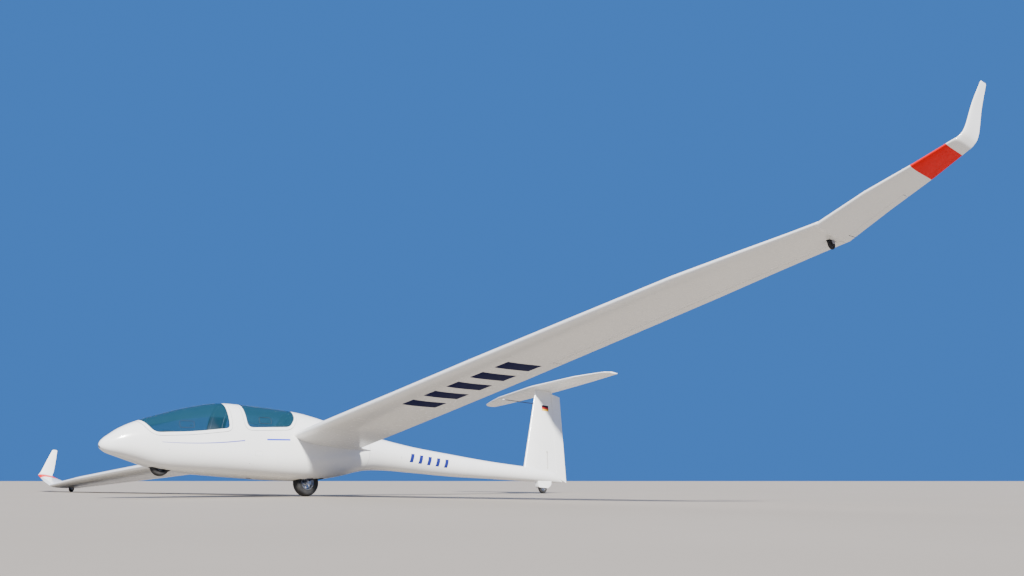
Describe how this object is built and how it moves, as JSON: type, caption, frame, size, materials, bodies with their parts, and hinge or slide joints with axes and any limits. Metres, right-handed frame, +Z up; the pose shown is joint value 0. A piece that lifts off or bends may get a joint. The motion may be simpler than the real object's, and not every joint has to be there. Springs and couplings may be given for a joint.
{
  "type": "two-seat training sailplane with a T-tail",
  "caption": "White glass-fibre sailplane parked on its wheels and one wing tip, with a tandem hollow cockpit, hinged canopies, T-tail, winglets, control surfaces, airbrakes and wheels.",
  "frame": {"origin": "middle of the bounding box on the floor under the parked sailplane", "axes": "+X aft, as stations run, +Y to starboard along the span, +Z up; the aircraft sits nose up and rolled onto its starboard wing-tip wheel"},
  "size_m": [8.6124, 19.7502, 3.5537],
  "materials": {
    "gelcoat": "polished white gelcoat over glass fibre",
    "canopy_glass": "clear tinted acrylic",
    "tyre": "black rubber",
    "rim": "cast and machined",
    "steel": "dull steel",
    "lining": "grey cockpit paint",
    "panel": "matt black",
    "grip": "black grip and boot",
    "cloth": "dark blue woven cushion covers"
  },
  "bodies": {
    "airframe": {"fuselage_pod": "gelcoat", "tail_boom": "gelcoat", "fin": "gelcoat", "tailplane": "gelcoat", "energy_probe": "panel", "wing_left": "gelcoat", "wing_right": "gelcoat", "wing_tip_left": "gelcoat", "wing_tip_right": "gelcoat", "main_axle": "steel", "main_fork": "steel", "main_wheel_box": "lining", "nose_axle": "steel", "nose_wheel_box": "lining", "tail_axle": "steel", "tail_wheel_fairing": "gelcoat", "seat_front": "lining", "seat_rear": "lining", "stick_front": "grip", "stick_rear": "grip", "pedals_front": "steel", "pedals_rear": "steel", "instrument_panel_front": "panel", "instrument_panel_rear": "panel", "rear_bulkhead": "lining", "belly_tow_hook": "steel", "nose_tow_hook": "steel", "wheel_bracket": "steel", "seat_cushion_front": "cloth", "seat_cushion_rear": "cloth", "back_cushion_front": "cloth", "back_cushion_rear": "cloth", "headrest_front": "cloth", "headrest_rear": "cloth"},
    "canopy_front": {"canopy_frame_front": "gelcoat", "canopy_glass_front": "canopy_glass"},
    "canopy_rear": {"canopy_frame_rear": "gelcoat", "canopy_glass_rear": "canopy_glass"},
    "aileron_left": {"aileron_left": "gelcoat"},
    "aileron_right": {"aileron_right": "gelcoat"},
    "tip_aileron_left": {"tip_aileron_left": "gelcoat"},
    "tip_aileron_right": {"tip_aileron_right": "gelcoat"},
    "airbrake_left": {"airbrake_left": "gelcoat"},
    "airbrake_right": {"airbrake_right": "gelcoat"},
    "rudder": {"rudder": "gelcoat"},
    "elevator": {"elevator": "gelcoat"},
    "main_wheel": {"main_tyre": "tyre", "main_rim": "rim"},
    "nose_wheel": {"nose_tyre": "tyre", "nose_rim": "rim"},
    "tail_wheel": {"tail_tyre": "tyre", "tail_rim": "rim"},
    "tip_wheel_left": {"tip_wheel_left": "tyre"},
    "tip_wheel_right": {"tip_wheel_right": "tyre"}
  },
  "joints": [
    {"name": "canopy_front_hinge", "type": "hinge", "parent": "airframe", "child": "canopy_front", "pos_m": [-3.50379, 0.08558, 0.71008], "axis": [-0.9932, -0.0917, -0.0711], "range_deg": [0, 80]},
    {"name": "canopy_rear_hinge", "type": "hinge", "parent": "airframe", "child": "canopy_rear", "pos_m": [-2.34652, 0.15533, 0.79494], "axis": [-0.9983, 0.0192, -0.0558], "range_deg": [0, 80]},
    {"name": "aileron_left_hinge", "type": "hinge", "parent": "airframe", "child": "aileron_left", "pos_m": [-0.88495, -4.77411, 1.602], "axis": [-0.0513, -0.9781, 0.2016], "range_deg": [-20, 20]},
    {"name": "aileron_right_hinge", "type": "hinge", "parent": "airframe", "child": "aileron_right", "pos_m": [-0.96106, 4.44063, 0.34784], "axis": [0.0676, -0.9955, 0.067], "range_deg": [-20, 20]},
    {"name": "tip_aileron_left_hinge", "type": "hinge", "parent": "airframe", "child": "tip_aileron_left", "pos_m": [-1.08807, -8.65169, 2.41495], "axis": [-0.0339, -0.8945, 0.4458], "range_deg": [-20, 20]},
    {"name": "tip_aileron_right_hinge", "type": "hinge", "parent": "airframe", "child": "tip_aileron_right", "pos_m": [-1.22885, 8.39061, 0.09543], "axis": [0.0494, -0.9804, -0.1906], "range_deg": [-20, 20]},
    {"name": "airbrake_left_slide", "type": "slide", "parent": "airframe", "child": "airbrake_left", "axis": [0.0595, 0.1858, 0.9808], "range_m": [0, 0.075]},
    {"name": "airbrake_right_slide", "type": "slide", "parent": "airframe", "child": "airbrake_right", "axis": [0.0604, 0.084, 0.9946], "range_m": [0, 0.075]},
    {"name": "rudder_hinge", "type": "hinge", "parent": "airframe", "child": "rudder", "pos_m": [3.97108, -0.23842, 0.15125], "axis": [0.06, 0.1351, 0.989], "range_deg": [-30, 30]},
    {"name": "elevator_hinge", "type": "hinge", "parent": "airframe", "child": "elevator", "pos_m": [4.04265, 1.44112, 1.66063], "axis": [0.0082, -0.9908, 0.1349], "range_deg": [-20, 25]},
    {"name": "main_wheel_spin", "type": "hinge", "parent": "airframe", "child": "main_wheel", "pos_m": [-1.31133, -0.27692, 0.18894], "axis": [0.0082, -0.9908, 0.1349], "continuous": true},
    {"name": "nose_wheel_spin", "type": "hinge", "parent": "airframe", "child": "nose_wheel", "pos_m": [-3.51217, -0.26544, 0.40689], "axis": [0.0082, -0.9908, 0.1349], "continuous": true},
    {"name": "tail_wheel_spin", "type": "hinge", "parent": "airframe", "child": "tail_wheel", "pos_m": [3.60225, -0.24855, 0.09919], "axis": [0.0082, -0.9908, 0.1349], "continuous": true},
    {"name": "tip_wheel_left_spin", "type": "hinge", "parent": "airframe", "child": "tip_wheel_left", "pos_m": [-1.1761, -8.51601, 2.33453], "axis": [0.0082, -0.9908, 0.1349], "continuous": true},
    {"name": "tip_wheel_right_spin", "type": "hinge", "parent": "airframe", "child": "tip_wheel_right", "pos_m": [-1.31449, 8.23697, 0.0544], "axis": [0.0082, -0.9908, 0.1349], "continuous": true}
  ],
  "couplings": [
    {"joint": "aileron_right_hinge", "follows": "aileron_left_hinge", "ratio": -1},
    {"joint": "tip_aileron_left_hinge", "follows": "aileron_left_hinge", "ratio": 1},
    {"joint": "tip_aileron_right_hinge", "follows": "aileron_left_hinge", "ratio": -1},
    {"joint": "airbrake_right_slide", "follows": "airbrake_left_slide", "ratio": 1}
  ]
}
